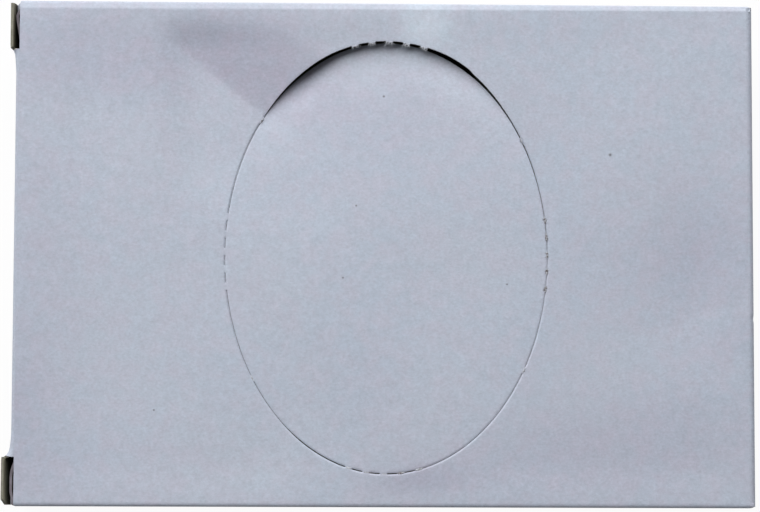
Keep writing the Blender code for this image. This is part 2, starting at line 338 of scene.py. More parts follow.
def white_liner():
    """Coated white side of the board: cool pale grey with a faint pink and blue mottle."""
    slots = {"Roughness": 0.5, "Specular IOR Level": 0.35}
    material, tree, shader = make_material("white_liner", slots)
    coords = node(tree, "ShaderNodeTexCoord").outputs["Object"]
    cloud = noise_node(tree, coords, 45.0, 4.0)
    patch = noise_node(tree, coords, 300.0, 4.0, 0.6)
    mottle = noise_node(tree, coords, 620.0, 4.0, 0.65)
    grain = noise_node(tree, stretched(tree, coords, (1.0, 1.35, 1.0)), 1700.0, 5.0, 0.75)
    cloudy = remap(tree, cloud, 0.35, 0.65, 0.0, 1.0)
    cool = mix_colour(tree, cloudy, (0.460, 0.512, 0.606), (0.474, 0.516, 0.602))
    tint = mix_colour(tree, remap(tree, patch, 0.40, 0.64, 0.0, 0.75), cool, (0.497, 0.502, 0.594))
    shade = remap(tree, grain, 0.28, 0.72, 0.868, 1.122)
    shade = math_node(tree, "MULTIPLY", shade, remap(tree, mottle, 0.3, 0.7, 0.950, 1.042))
    # painted shading from the vertex attribute: a negative value paints shade, darkest in green so the shade
    # turns purple; a positive one paints light
    painted_shading = node(tree, "ShaderNodeAttribute", attribute_name="painted_shading").outputs["Fac"]
    grey = node(tree, "ShaderNodeCombineColor")
    for socket, share in zip(grey.inputs[:3], (0.88, 1.20, 0.98)):
        cast = math_node(tree, "ADD", math_node(tree, "MULTIPLY", painted_shading, share), 1.0)
        tree.links.new(math_node(tree, "MULTIPLY", shade, cast), socket)
    colour = mix_colour(tree, 1.0, tint, grey.outputs[0], "MULTIPLY")
    spots = 0.0
    for x, y, size in SPECKS:
        spots = math_node(tree, "MAXIMUM", spots, speck(tree, coords, x, y, size))
    colour = mix_colour(tree, spots, colour, (0.13, 0.12, 0.13))
    tree.links.new(colour, shader.inputs["Base Color"])
    rough = remap(tree, patch, 0.3, 0.7, 0.46, 0.56)
    tree.links.new(rough, shader.inputs["Roughness"])
    soft = bump_node(tree, noise_node(tree, coords, 420.0, 3.0), 0.00005, 0.5)
    fine = bump_node(tree, grain, 0.00002, 0.6, soft)
    tree.links.new(fine, shader.inputs["Normal"])
    return material


def shaded(tree, colour):
    """Multiply a colour by one plus the piece's painted shading, kept for the ears' inner faces: painted
    light near their tips, painted shade down in their slots.
    """
    shade = node(tree, "ShaderNodeAttribute", attribute_name="shade").outputs["Fac"]
    factor = math_node(tree, "ADD", shade, 1.0)
    grey = node(tree, "ShaderNodeCombineColor")
    for socket in grey.inputs[:3]:
        tree.links.new(factor, socket)
    return mix_colour(tree, 1.0, colour, grey.outputs[0], "MULTIPLY")


def grey_inside():
    """Uncoated inside of the board: recycled grey-brown stock with short dark and pale fibres."""
    slots = {"Roughness": 0.85, "Specular IOR Level": 0.2}
    material, tree, shader = make_material("grey_inside", slots)
    coords = node(tree, "ShaderNodeTexCoord").outputs["Object"]
    cloud = noise_node(tree, coords, 90.0, 5.0, 0.6)
    fibre = noise_node(tree, stretched(tree, coords, (0.35, 1.6, 1.0)), 2600.0, 4.0, 0.7)
    cloudy = remap(tree, cloud, 0.35, 0.65, 0.0, 1.0)
    colour = mix_colour(tree, cloudy, (0.235, 0.222, 0.165), (0.290, 0.270, 0.205))
    colour = mix_colour(tree, remap(tree, fibre, 0.52, 0.72, 0.0, 0.55), colour, (0.42, 0.38, 0.30))
    colour = mix_colour(tree, remap(tree, fibre, 0.45, 0.25, 0.0, 0.6), colour, (0.14, 0.12, 0.09))
    # painted light near the ears' tips and painted shade down in their slots
    colour = shaded(tree, colour)
    tree.links.new(colour, shader.inputs["Base Color"])
    tree.links.new(bump_node(tree, fibre, 0.00004, 0.6), shader.inputs["Normal"])
    return material


def cut_edge(name, pale, core):
    """Cut edge of the board: pale liner dust over a grey fibrous core."""
    slots = {"Roughness": 0.9, "Specular IOR Level": 0.15}
    material, tree, shader = make_material(name, slots)
    coords = node(tree, "ShaderNodeTexCoord").outputs["Object"]
    fibre = noise_node(tree, coords, 3800.0, 5.0, 0.7)
    streak = noise_node(tree, coords, 700.0, 3.0)
    colour = mix_colour(tree, remap(tree, streak, 0.35, 0.65, 0.0, 1.0), pale, core)
    colour = mix_colour(tree, remap(tree, fibre, 0.5, 0.75, 0.0, 0.5), colour, core)
    tree.links.new(colour, shader.inputs["Base Color"])
    tree.links.new(bump_node(tree, fibre, 0.00006, 0.7), shader.inputs["Normal"])
    return material


LINER = white_liner()
INSIDE = grey_inside()
CUT = cut_edge("cut_edge", (0.56, 0.54, 0.52), (0.40, 0.38, 0.35))
FIBRE = cut_edge("torn_fibre", (0.70, 0.73, 0.79), (0.54, 0.56, 0.60))
BROWN = cut_edge("brown_fibre", (0.27, 0.24, 0.25), (0.17, 0.145, 0.14))
# darker copies of the cut edge for the closures and the dust flaps: painted shade
PAINTED_SHADE_EDGE = cut_edge("painted_shade_end_edge", (0.270, 0.268, 0.220), (0.195, 0.188, 0.150))
SHADED = cut_edge("shaded_edge", (0.235, 0.215, 0.245), (0.170, 0.150, 0.170))
BOARD_LOOK = (LINER, INSIDE, CUT)
END_LOOK = (LINER, INSIDE, PAINTED_SHADE_EDGE)
DUST_LOOK = (LINER, INSIDE, SHADED)


# ---------------------------------------------------------------- front panel and oval

def across_line(a, b, point, direction):
    """Signed distance from a line, in millimetres, to the left of its direction."""
    heading = math.radians(direction)
    return (b - point[1]) * math.cos(heading) - (a - point[0]) * math.sin(heading)


# the panel's two bend lines: a point in millimetres and a heading in degrees
VALLEY_POINT, VALLEY_TURN = (-21.4, 24.8), -38
RIDGE_POINT, RIDGE_TURN = (64.0, -8.3), 17


def panel_warp(x, y):
    """How far the front panel sags below its flat plane, from handling and from the push."""
    up_room = ease(0, 7 * MM, SIDE - UPPER_FOLD - y)
    down_room = ease(0, 7 * MM, SIDE - LOWER_FOLD + y)
    edge_room = up_room * down_room * ease(0, 10 * MM, FLAT_END - x) * ease(0, 14 * MM, x + RAW_EDGE)
    a, b = x / MM, y / MM
    # valley left of the tear: the facet above it turns away from the light
    above = across_line(a, b, VALLEY_POINT, VALLEY_TURN)
    valley = np.where(above > 0, 1 - above / 14.0, 1 + above / 30.0)
    reach = ease(-42, -33, a) * ease(-6, -14, a) * ease(2, 18, b)
    sag = 1.15 * np.clip(valley, 0, 1) * reach
    # broad dent at the right, ending in a soft ridge
    over = across_line(a, b, RIDGE_POINT, RIDGE_TURN)
    dent = np.where(over > 0, np.exp(-((over / 16.0) ** 2)), np.exp(-((over / 6.5) ** 2)))
    sag = sag + 0.45 * dent * ease(40, 60, a)
    # lift beside the tear's apex
    sag = sag - 0.24 * bump(a, 7.0, 4.5) * bump(b, 40.0, 4.0)
    # slow wave of the whole panel
    sag = sag + 0.13 * (1 + np.sin(a / 15.0 + b / 31.0)) + 0.05 * (1 + np.sin(a / 7.0 - b / 9.0))
    return -np.maximum(sag, 0) * MM * edge_room


def soft_patch(a, b, centre, radii, turn, amount, power):
    """A soft-edged elliptical patch of painted shading on the panel: a negative amount paints shade, a
    positive one paints light.
    """
    heading = math.radians(turn)
    u = (a - centre[0]) * math.cos(heading) + (b - centre[1]) * math.sin(heading)
    v = (b - centre[1]) * math.cos(heading) - (a - centre[0]) * math.sin(heading)
    return amount * np.exp(-((u / radii[0]) ** 2 + (v / radii[1]) ** 2) ** (power / 2))


# painted shade and painted light patches on the panel, standing in for the shading of its warps: middle,
# radii, turn in degrees, amount and edge power
PAINTED_SHADING_PATCHES = (
    ((7.5, 41.0), (5.0, 4.5), -30, 0.14, 3.0),
    ((6.5, -40.2), (9.0, 2.8), 4, -0.12, 2.0),
    ((40.0, -35.0), (30.0, 9.0), 8, -0.085, 2.6),
    ((60.0, -15.5), (10.0, 5.0), 20, -0.055, 2.0),
    ((-20.0, -38.5), (6.0, 4.5), 30, 0.03, 2.0),
    ((-58.0, -40.0), (16.0, 7.0), 0, -0.05, 2.0),
    ((-62.0, 0.0), (9.0, 24.0), 0, -0.05, 2.0),
    ((-48.0, 36.0), (22.0, 9.0), 0, -0.10, 3.0),
    ((38.0, 2.0), (10.0, 12.0), 0, -0.025, 2.0),
    ((-65.0, -26.0), (6.0, 11.0), 0, -0.08, 2.0),
    ((-2.0, 25.0), (22.0, 9.0), 0, -0.07, 2.0),
    ((-2.0, -24.0), (9.0, 10.0), 0, -0.03, 2.0),
)
BASE_TONE = 0.014


def panel_painted_shading(x, y, _):
    """Painted shade and light on the panel: painted shade on the facet above the valley and beside the ridge
    at the right, where the bent board turns from the light, plus the patches' painted shade and highlights
    over a small base lift.
    """
    a, b = x / MM, y / MM
    above = across_line(a, b, VALLEY_POINT, VALLEY_TURN)
    painted_shading = soft_patch(a, b, (-22.0, 33.5), (13.5, 9.5), -14, -0.125, 3.5) * ease(-1.5, 1.5, above)
    over = across_line(a, b, RIDGE_POINT, RIDGE_TURN)
    painted_shading = painted_shading + soft_patch(a, b, (58.0, 1.0), (13.0, 11.0), 20, -0.085, 2.0) * ease(-1.0, 1.0, over)
    for mark in PAINTED_SHADING_PATCHES:
        painted_shading = painted_shading + soft_patch(a, b, *mark)
    return painted_shading + BASE_TONE


def ellipse_ring(angles, offset):
    """The oval's outline moved outwards by an offset."""
    x, y = OVAL_RX * np.cos(angles), OVAL_RY * np.sin(angles)
    nx, ny = np.cos(angles) / OVAL_RX, np.sin(angles) / OVAL_RY
    size = np.hypot(nx, ny)
    return OVAL_X + x + nx / size * offset, OVAL_Y + y + ny / size * offset


def rectangle_ring(angles):
    """Where each ray through the ellipse meets the panel's flat boundary, corners kept exact."""
    x, y = ellipse_ring(angles, 0.0)
    limit_x = np.where(x > 0, FLAT_END, RAW_EDGE)
    bottom = SIDE - LOWER_FOLD
    limit_y = np.where(y > 0, SIDE - UPPER_FOLD, bottom)
    scale = np.minimum(limit_x / np.maximum(np.abs(x), 1e-9), limit_y / np.maximum(np.abs(y), 1e-9))
    out_x, out_y = x * scale, y * scale
    out_y = np.where(out_y > 0, out_y / (SIDE - UPPER_FOLD) * upper_edge(out_x), out_y)
    for corner_x in (FLAT_END, -RAW_EDGE):
        for corner_y in (upper_edge(corner_x), -bottom):
            nearest = np.argmin(np.hypot(out_x - corner_x, out_y - corner_y))
            out_x[nearest], out_y[nearest] = corner_x, corner_y
    return out_x, out_y


RING = 1800
angles = np.arange(RING) * 2 * math.pi / RING


def arc_ease(start, end):
    """Ease from 0 at one angle on the oval to 1 at another, in degrees, for each ring angle."""
    return ease(math.radians(start), math.radians(end), angles)


EDGE_STEPS = np.array([0, 0.03, 0.07, 0.12, 0.18, 0.26, 0.4, 0.7, 1.2, 2.0]) * MM
SHOULDER = 0.17 * MM
TEAR_START, TEAR_END = math.radians(32.6), math.radians(141.0)

# the cut is open along the right and the top, and a little along the bottom
kerf_width = KERF + (OPEN_KERF - KERF) * (arc_ease(-4, 34) - arc_ease(128, 146))
kerf_width = kerf_width + LOW_KERF_EXTRA * arc_ease(228, 240) * arc_ease(286, 276)
torn_edge = ease(TEAR_START - 0.10, TEAR_START + 0.30, angles)
torn_edge = torn_edge * ease(TEAR_END + 0.01, TEAR_END - 0.07, angles)


def nicks():
    """(angle, torn) for each nick: a cluster at each end of both axes, and four single ones."""
    found = []
    # middle of the cluster in degrees, radius there, and the first of its nicks that is torn
    clusters = ((0.6, OVAL_RY, 0), (89.1, OVAL_RX, 0), (179.1, OVAL_RY, CLUSTER), (269.2, OVAL_RX, 3))
    for centre, radius, first_torn in clusters:
        for k in range(CLUSTER):
            shift = (k - (CLUSTER - 1) / 2) * NICK_PITCH / radius
            found.append((math.radians(centre) + shift, k >= first_torn))
    for single, torn in ((32.6, True), (141.0, False), (214.6, False), (328.5, False)):
        found.append((math.radians(single), torn))
    return found


def nick_mask(only_whole):
    """1 within a nick and 0 elsewhere, for each ring angle."""
    speed = np.hypot(OVAL_RX * np.sin(angles), OVAL_RY * np.cos(angles))
    mask = np.zeros(RING)
    for centre, torn in nicks():
        if only_whole and torn:
            continue
        away = np.abs((angles - centre + math.pi) % (2 * math.pi) - math.pi) * speed
        mask = np.maximum(mask, ease(NICK_WIDTH / 2 + 0.06 * MM, NICK_WIDTH / 2 - 0.06 * MM, away))
    return mask


def edge_noise(seed, amount):
    """Fine seeded unevenness along the cut, for each ring angle."""
    spots = [Vector((math.cos(t) * 90 + seed, math.sin(t) * 90, 2.0)) for t in angles]
    return np.array([noise.noise(spot) for spot in spots]) * amount


def ring_board(name, rings, closed_centre, surface):
    """Closed board from rings of (x, y), first ring at the die-cut edge."""
    mesh = BoardMesh()
    starts = []
    held = nick_mask(True)
    for k, (x, y) in enumerate(rings):
        z = surface(x, y)
        depth = EDGE_STEPS[k] if k < len(EDGE_STEPS) else 1.0
        lip = (0.4 if closed_centre else 1.0) * SHOULDER * (1 - 0.9 * torn_edge)
        round_off = lip * math.exp(-((depth / (0.16 * MM)) ** 2)) * (1 - 0.8 * held)
        upper = mesh.add_points(np.stack([x, y, z - round_off], -1))
        lower = mesh.add_points(np.stack([x, y, z - BOARD], -1))
        starts.append((upper, lower))
    for first, second in zip(starts, starts[1:]):
        for k in range(RING):
            n = (k + 1) % RING
            top = [first[0] + k, second[0] + k, second[0] + n, first[0] + n]
            low = [first[1] + k, first[1] + n, second[1] + n, second[1] + k]
            if closed_centre:
                top, low = top[::-1], low[::-1]
            mesh.add(top, 0)
            mesh.add(low, 1)
    for ring, outwards in ((starts[0], closed_centre), (starts[-1], not closed_centre)):
        if closed_centre and ring is starts[-1]:
            continue
        for k in range(RING):
            n = (k + 1) % RING
            wall = [ring[0] + k, ring[0] + n, ring[1] + n, ring[1] + k]
            mesh.add(wall[::-1] if outwards else wall, 2)
    if closed_centre:
        x0, y0 = OVAL_X, OVAL_Y
        z0 = float(surface(np.array([x0]), np.array([y0]))[0])
        top_mid = mesh.add_points(np.array([[x0, y0, z0]]))
        low_mid = mesh.add_points(np.array([[x0, y0, z0 - BOARD]]))
        for k in range(RING):
            n = (k + 1) % RING
            mesh.add([starts[-1][0] + k, starts[-1][0] + n, top_mid], 0)
            mesh.add([starts[-1][1] + n, starts[-1][1] + k, low_mid], 1)
    return mesh.build(name, BOARD_LOOK, painted_shading=panel_painted_shading)


def oval_dip(x, y):
    """The oval is pushed in at its upper end, most at the upper left, where it drags the panel down."""
    a, b = (x - OVAL_X) / OVAL_RX, (y - OVAL_Y) / OVAL_RY
    broad = 2.15 * np.clip(b, 0, 1) ** 2.3 * (1.0 - 0.6 * a + 0.2 * a * a)
    rim = np.exp(-((np.maximum(1 - np.hypot(a, b), 0) / 0.085) ** 2)) * ease(0.35, 0.7, b)
    curled = rim * (1.0 * bump(a, -0.50, 0.17) + 0.75 * bump(a, 0.42, 0.20))
    return (broad + curled) * MM


def front_surface(x, y):
    return TOP - SURFACE_DROP + panel_warp(x, y)


def oval_surface(x, y):
    level = front_surface(x, y)
    hold = ease(0.45, -0.2, (y - OVAL_Y) / OVAL_RY)
    flat = TOP - 0.2 * MM
    return level * hold + flat * (1 - hold) - oval_dip(x, y)


def make_front():
    """Front panel with the aperture, from the cut's edge out to the folds."""
    torn = nick_mask(False) - nick_mask(True)
    ragged = np.clip(1 + edge_noise(11.0, 1.3), 0, 2)
    teeth = kerf_width * (nick_mask(True) + 0.5 * torn) + 0.13 * MM * torn * ragged * (np.sin(angles) > 0.9)
    # the torn rim stands back from the cut up to a small step, and less beyond it
    lifted = arc_ease(82, 62) * arc_ease(57, 60) + 0.42 * arc_ease(40, 57) * arc_ease(60, 57)
    rings = []
    for step in EDGE_STEPS:
        wobble = edge_noise(3.0, 0.018 * MM) * (step < 0.2 * MM)
        wobble = wobble + TORN_RIM_LIFT * lifted * (1 - step / EDGE_STEPS[-1])
        rings.append(ellipse_ring(angles, CUT_OFFSET + kerf_width / 2 - teeth * (step == 0) + step + wobble))
    last_x, last_y = rings[-1]
    out_x, out_y = rectangle_ring(angles)
    for part in np.linspace(0, 1, 19)[1:]:
        part = part ** 1.15
        rings.append((last_x + (out_x - last_x) * part, last_y + (out_y - last_y) * part))
    obj = ring_board("front_board", rings, False, front_surface)
    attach(obj, "carton")
    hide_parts("front_panel")


def make_oval():
    """Oval tear-out panel, from its edge in to its middle."""
    rings = []
    for step in EDGE_STEPS:
        wobble = edge_noise(7.0, 0.015 * MM) * (step < 0.2 * MM) * (1 - nick_mask(True))
        rings.append(ellipse_ring(angles, CUT_OFFSET - kerf_width / 2 - step + wobble))
    edge_x, edge_y = rings[-1]
    for part in np.linspace(0, 1, 20)[1:-1]:
        rings.append((OVAL_X + (edge_x - OVAL_X) * (1 - part), OVAL_Y + (edge_y - OVAL_Y) * (1 - part)))
    obj = ring_board("oval_board", rings, True, oval_surface)
    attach(obj, "oval")
    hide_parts("oval_panel")


def fibre(mesh, root, heading, length, thick, kind, rng):
    """One torn paper fibre: a closed, curling, tapering strand."""
    side = Vector((-heading.y, heading.x, 0)).normalized()
    curl = rng.uniform(-0.9, 0.9)
    rise = rng.uniform(-0.5, 0.25)
    steps = 5
    first = None
    for k in range(steps):
        part = k / (steps - 1)
        centre = root + heading * length * part + side * length * curl * part * part
        centre = centre + Vector((0, 0, rise * length * part * part))
        centre.z = min(centre.z, TOP - 0.08 * MM)
        width = thick * (1 - 0.75 * part)
        ring = [centre + side * width, centre + Vector((0, 0, width * 0.6)),
                centre - side * width, centre - Vector((0, 0, width * 0.6))]
        start = mesh.add_points(np.array([tuple(p) for p in ring]))
        if first is None:
            mesh.add([start + 3, start + 2, start + 1, start], kind)
        else:
            for m in range(4):
                n = (m + 1) % 4
                mesh.add([first + m, first + n, start + n, start + m], kind)
        first = start
    mesh.add([first, first + 1, first + 2, first + 3], kind)


def make_fibres(name, body, inward, surface, rng):
    """Torn ends of the broken nicks, as tufts of fibre on one side of the cut."""
    mesh = BoardMesh()
    for centre, torn in nicks():
        along_x, along_y = math.cos(centre), math.sin(centre)
        if along_x < -0.95:
            continue
        at_top = along_y > 0.95
        at_right = along_x > 0.95
        at_bottom = along_y < -0.95
        smudged = at_bottom and 0.05 < along_x < 0.16
        if at_top:
            count = 34 if inward else 8
        else:
            count = 34 if at_right or at_bottom else 14
        brown_share = 0.08 if at_top else 0.6 if at_right or smudged else 0.15
        speed = math.hypot(OVAL_RX * along_y, OVAL_RY * along_x)
        size = rng.uniform(0.85, 1.25)
        shift = rng.uniform(-0.2, 0.2) * MM
        for _ in range(count):
            along = shift + rng.uniform(-0.5, 0.5) * NICK_WIDTH * (0.9 if at_top else 0.6)
            t = np.array([centre + along / speed])
            x, y = ellipse_ring(t, CUT_OFFSET + (0.09 * MM if inward else -0.09 * MM))
            drop = rng.uniform(-0.02, 0.22) if at_top else rng.uniform(-0.07, 0.03)
            z = min(float(surface(x, y)[0]) - drop * MM, TOP - 0.08 * MM)
            nx, ny = math.cos(t[0]) / OVAL_RX, math.sin(t[0]) / OVAL_RY
            normal = Vector((nx, ny, 0)).normalized() * (-1 if inward else 1)
            swing = 0.4 if at_top else 1.3
            heading = Matrix.Rotation(rng.uniform(-swing, swing), 3, "Z") @ normal
            reach = (0.85 * size if at_top and inward else 0.55) * MM * rng.uniform(0.25, 1.0)
            kind = 1 if rng.uniform(0, 1) < brown_share else 0
            thick = (rng.uniform(0.022, 0.055) if at_top else rng.uniform(0.035, 0.085)) * MM
            fibre(mesh, Vector((x[0], y[0], z)), heading, reach, thick, kind, rng)
    obj = mesh.build(name, (FIBRE, BROWN))
    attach(obj, body)


make_front()
make_oval()
rng = np.random.default_rng(4)
make_fibres("front_torn_fibres", "carton", True, front_surface, rng)
make_fibres("oval_torn_fibres", "oval", False, oval_surface, rng)


# ---------------------------------------------------------------- sides and back

def side_board(name, node_name, side):
    """Side panel with its whole fold to the front, and below it either a fold or a raw edge."""
    if side > 0:
        fold = UPPER_FOLD
        profile = bend_profile(lambda s: 0.22 * ease(0, 0.30, s) + 0.78 * ease(0.66, 1, s), fold - BOARD / 2)
    else:
        fold = LOWER_FOLD
        profile = bend_profile(lambda s: 0.10 * s + 0.90 * s ** 3.0, fold - BOARD / 2)
    steps, along, down = profile
    fall = down[-1]
    bottom = 2 * FOLD if side > 0 else FOLD + 0.3 * MM
    length_down = TOP - BOARD / 2 - fall - (FOLD if side > 0 else bottom)
    edge = SIDE_END

    def place(u, v):
        crease = np.clip(v / QUARTER, 0, 1)
        beyond = np.maximum(v - QUARTER, 0.0)
        y = SIDE - fold + np.interp(crease, steps, along)
        if side > 0:
            widen = fold + upper_edge(u * edge) - SIDE
            y = y + widen * (1 - np.interp(crease, steps, along) / along[-1])
        z = TOP - SURFACE_DROP - BOARD / 2 - np.interp(crease, steps, down) - beyond
        if side > 0:
            over = np.clip((v - QUARTER - length_down) / MID_FOLD, 0, math.pi / 2)
            y = y - MID_FOLD * (1 - np.cos(over))
            z = np.where(over > 0, FOLD - MID_FOLD * np.sin(over), z)
        left = edge - 0.8 * MM * ease(QUARTER * 0.6, QUARTER + 0.6 * MM, v)
        right = left + 0.62 * MM * ease(QUARTER * 1.1, QUARTER * 0.7, v)
        if side > 0:
            low = ease(QUARTER + length_down - 1.2 * FOLD, QUARTER + length_down, v)
            left, right = left + 0.75 * MM * low, right + 0.75 * MM * low
        belly = 0.12 * MM * np.sin(np.clip(beyond / TOP, 0, 1) * math.pi) * np.cos(u * math.pi / 2)
        x = u * np.where(u > 0, right, left)
        return np.stack([x, side * (y - belly - 0.01 * MM * ease(0, QUARTER, v)), z], -1)

    pieces = [(0.0, QUARTER, 28), (QUARTER, QUARTER + length_down, 22)]
    if side > 0:
        pieces.append((QUARTER + length_down, QUARTER * 2 + length_down, 8))
    mesh = board_sheet(name, np.linspace(-1, 1, 81), spread(*pieces), place, flip=side < 0)
    obj = mesh.build(name, BOARD_LOOK, painted_shading=panel_painted_shading)
    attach(obj, "carton")
    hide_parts(node_name)


def make_back():
    """Back panel with the glue flap folded up inside the lower side."""
    flat_low = FLAT_SIDE - GLUE_SHIFT

    def place(u, v):
        y, drop = round_fold(-v, flat_low)
        y = np.where(v < -flat_low, -y, v)
        z = BOARD / 2 + np.where(v < -flat_low, drop, 0.0)
        cut = 6 * MM * np.maximum(z - FOLD, 0) / GLUE_HEIGHT
        limit = RAW_EDGE - 0.05 * MM - 0.75 * MM * ease(-flat_low + 0.3 * MM, -flat_low - 0.6 * MM, v) - cut
        x = np.where(u > 0, u * limit, u * np.minimum(limit, FLAT_END))
        return np.stack([x, y, z], -1)

    rise = GLUE_HEIGHT - FOLD
    rows = spread((-flat_low - QUARTER - rise, -flat_low - QUARTER, 8), (-flat_low - QUARTER, -flat_low, 8),
                  (-flat_low, FLAT_SIDE, 40))
    mesh = board_sheet("back_board", np.linspace(-1, 1, 61), rows, place, flip=True)
    obj = mesh.build("back_board", BOARD_LOOK)
    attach(obj, "carton")
    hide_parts("back_panel", "glue_flap")


side_board("upper_side_board", "upper_side_panel", 1)
side_board("lower_side_board", "lower_side_panel", -1)
make_back()


# ---------------------------------------------------------------- ends

def turned(place):
    """The same piece at the right end: half a turn about the carton's cross axis."""
    def other(u, v):
        points = place(u, v)
        return np.stack([-points[..., 0], points[..., 1], TOP - points[..., 2]], -1)
    return other


def fold_line(y):
    """How far the closure's front fold is pulled in between the slits."""
    return FOLD_IN * ease(SLIT_Y, SLIT_Y - 5 * MM, np.abs(y))


def dinged(u, v):
    """The closure at the right has a fuller fold, with a small dent in it."""
    points = closure_place(u, v)
    on_fold = ease(QUARTER * 2.5, QUARTER * 0.7, v) * ease(0, QUARTER * 0.5, v)
    dent = 0.09 * MM * bump(u, -11.4 * MM, 0.45 * MM) * on_fold
    full = 0.055 * MM * ease(0, QUARTER, v) * ease(20 * MM, 5 * MM, v)
    return points + np.stack([dent - full, np.zeros_like(dent), dent * 0.5], -1)


CLOSURE_TOP = TUCK_FACE - FOLD
ROUND = bend_profile(lambda s: 0.06 * s + 0.94 * s ** 1.15, MID_FOLD)
CRISP = bend_profile(lambda s: 0.10 * s + 0.90 * s ** 2.2, MID_FOLD)


def ear_lean(y, z):
    """Outward lean of the ears, dying away into the closure beside each slit."""
    out = np.where(y > 0, EAR_OUT_UPPER, EAR_OUT_LOWER)
    span = np.where(y > 0, 0.40 * MM, 0.62 * MM) + 0.35 * np.maximum(CLOSURE_TOP - z, 0)
    beside = np.exp(-np.maximum(SLIT_Y - np.abs(y), 0) / span)
    height = np.maximum((z - EAR_BEND) / (EAR_TOP - EAR_BEND), 0.0)
    pull = fold_line(y) * ease(EAR_BEND * 0.6, 26 * MM, z)
    return out * beside * height ** 1.8 - pull


def closure_place(u, v):
    """u is y, v climbs from the panel's flat edge over the crease and up."""
    steps, along, down = ROUND
    crease = np.clip(v / QUARTER, 0, 1)
    z = BOARD / 2 + np.interp(crease, steps, down) + np.maximum(v - QUARTER, 0)
    x = -FLAT_END - np.interp(crease, steps, along)
    x = x - ear_lean(u, z)
    across = np.cos(np.clip(u / EDGE_Y, -1, 1) * math.pi / 2)
    pillow = 0.10 * MM * np.sin(np.clip(z / TOP, 0, 1) * math.pi) * across
    tip = np.clip((z - EAR_TOP + 2.6 * MM) / (2.6 * MM), 0, 1)
    corner = tip * np.where(u < 0, 0.95, 0.25) * MM
    corner = corner + 0.15 * MM * ease(QUARTER, 0, v) ** 2
    y = u - np.sign(u) * corner * ease(EDGE_Y - 2 * MM, EDGE_Y, np.abs(u))
    return np.stack([x + pillow, y, z], -1)


# painted shade and painted light on the ears' inside, by height in millimetres: darkened down in the slot,
# lightened near the tips
EAR_HEIGHTS = (14.0, 21.5, 24.5, 26.3, 27.2, 27.7)
EAR_SHADES = (-0.95, -0.93, -0.72, -0.25, 0.7, 1.5)


def ear_shade(end):
    """Ears: painted light along their tips on the inside, painted shade down in the slot."""
    def shade_at(_, y, z):
        height = (z if end == "left" else TOP - z) / MM
        shade = np.interp(height, EAR_HEIGHTS, EAR_SHADES)
        return shade * ease(SLIT_Y - 3 * MM, SLIT_Y - 1 * MM, np.abs(y)) * ease(12, 16, height)
    return shade_at


V_TOP = CLOSURE_TOP - BOARD / 2 - ROUND[2][-1] + QUARTER
V_EAR = EAR_TOP - BOARD / 2 - ROUND[2][-1] + QUARTER


def slit_columns(middle, near, edge, outer):
    """Columns across an end piece, finest beside its slits, with counts for each run."""
    near_start, fine_start, fine_end = SLIT_Y - 6 * MM, SLIT_Y - 2.5 * MM, SLIT_Y - SLIT_WIDTH
    half = spread((0, near_start, middle), (near_start, fine_start, near), (fine_start, fine_end, 18),
                  (fine_end, SLIT_Y, 1), (SLIT_Y, edge, outer))
    return np.concatenate([-half[::-1][:-1], half])


def make_closure(end):
    """Closure panel with its fold to the carton and its two sprung ears."""
    place = closure_place if end == "left" else turned(dinged)
    columns = slit_columns(90, 10, EDGE_Y, 18)
    rows = spread((0, QUARTER, 10), (QUARTER, V_TOP - 5 * MM, 24), (V_TOP - 5 * MM, V_TOP, 10),
                  (V_TOP, V_EAR, 5))

    def present(u, v):
        return (v < V_TOP) | (np.abs(u) > SLIT_Y)

    mesh = board_sheet(end + "_closure_board", columns, rows, place, present, flip=True)
    obj = mesh.build(end + "_closure_board", END_LOOK, painted_shading=ear_shade(end), attribute="shade")
    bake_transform(obj)
    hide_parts(end + "_closure")


def tuck_place(u, v):
    """v runs from the closure's top edge over the crease and in under the panel."""
    slope = TUCK_TILT * ease(QUARTER * 0.75, QUARTER + 2.4 * MM, v)
    angle = np.clip(v / MID_FOLD, 0, math.pi / 2)
    beyond = np.maximum(v - QUARTER, 0.0)
    x = -(END - BOARD / 2) + MID_FOLD * (1 - np.cos(angle)) + beyond * np.cos(slope)
    z = CLOSURE_TOP + MID_FOLD * np.sin(angle) - beyond * np.sin(slope)
    x = x + fold_line(u) * ease(TUCK_LENGTH * 0.7, 0, v)
    lean = ear_lean(u, np.full(np.shape(u), CLOSURE_TOP)) + fold_line(u)
    x = x - lean * ease(QUARTER + 1.0 * MM, QUARTER * 0.7, v)
    over = np.maximum(beyond - (TUCK_LENGTH - 6 * MM), 0) / (6 * MM)
    narrow = 6 * MM * (1 - np.sqrt(np.maximum(1 - np.minimum(over, 1) ** 2, 0))) * 0.9
    y = np.where(np.abs(u) > SLIT_Y - 1 * MM, u * (1 - narrow / TUCK_HALF_WIDTH), u)
    return np.stack([x, y, z], -1)


def make_tuck(end):
    """Tuck flap with its fold to the closure."""
    place = tuck_place if end == "left" else turned(tuck_place)
    columns = slit_columns(18, 8, TUCK_HALF_WIDTH, 8)
    rows = spread((0, QUARTER, 12), (QUARTER, QUARTER + 0.6 * MM, 2),
                  (QUARTER + 0.6 * MM, QUARTER + TUCK_LENGTH * 0.995, 22))

    def present(u, v):
        return (v > QUARTER + 0.6 * MM) | (np.abs(u) < SLIT_Y - SLIT_WIDTH)

    mesh = board_sheet(end + "_tuck_board", columns, rows, place, present, flip=True)
    obj = mesh.build(end + "_tuck_board", BOARD_LOOK)
    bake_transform(obj)
    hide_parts(end + "_tuck")


